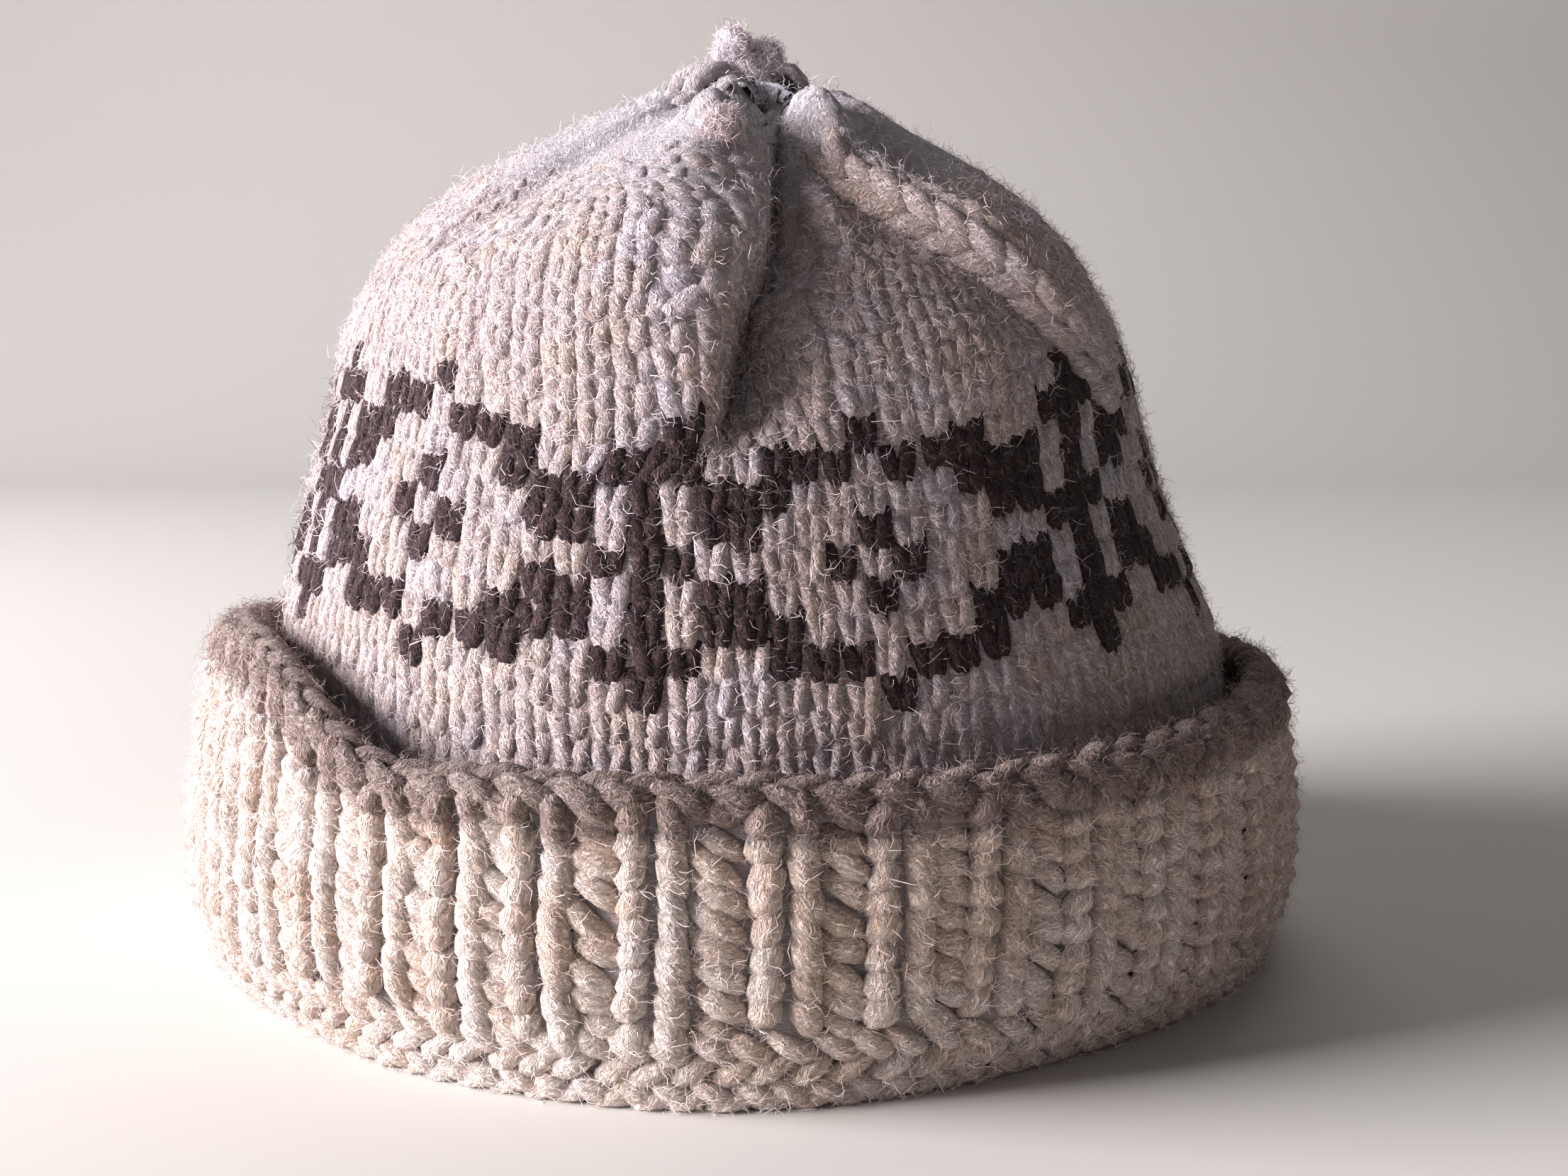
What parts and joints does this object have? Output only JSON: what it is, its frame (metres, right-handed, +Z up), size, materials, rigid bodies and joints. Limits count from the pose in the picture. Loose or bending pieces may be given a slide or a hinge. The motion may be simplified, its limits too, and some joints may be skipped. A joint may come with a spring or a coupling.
{
  "type": "knit hat",
  "caption": "Thick hand-knitted wool hat with a turned-up ribbed cuff, a dark geometric band, a gathered crown with deep folds and a small tuft, standing on its cuff.",
  "frame": {"origin": "on the surface the hat stands on, under the middle of the cuff", "axes": "+Z up through the crown to the tuft, -Y towards the deep fold at the front of the crown, +X to the right of someone facing that fold"},
  "size_m": [0.2224, 0.2232, 0.1853],
  "materials": {
    "cream_wool": "thick undyed wool, matt and hairy",
    "heather_wool": "thick grey-brown heather wool, matt and hairy",
    "pale_yarn": "pale wool yarn, matt"
  },
  "bodies": {
    "root": {"crown": "cream_wool", "cuff": "cream_wool", "cuff_edge": "heather_wool", "gather_yarn": "pale_yarn", "tuft": "cream_wool"}
  },
  "joints": []
}
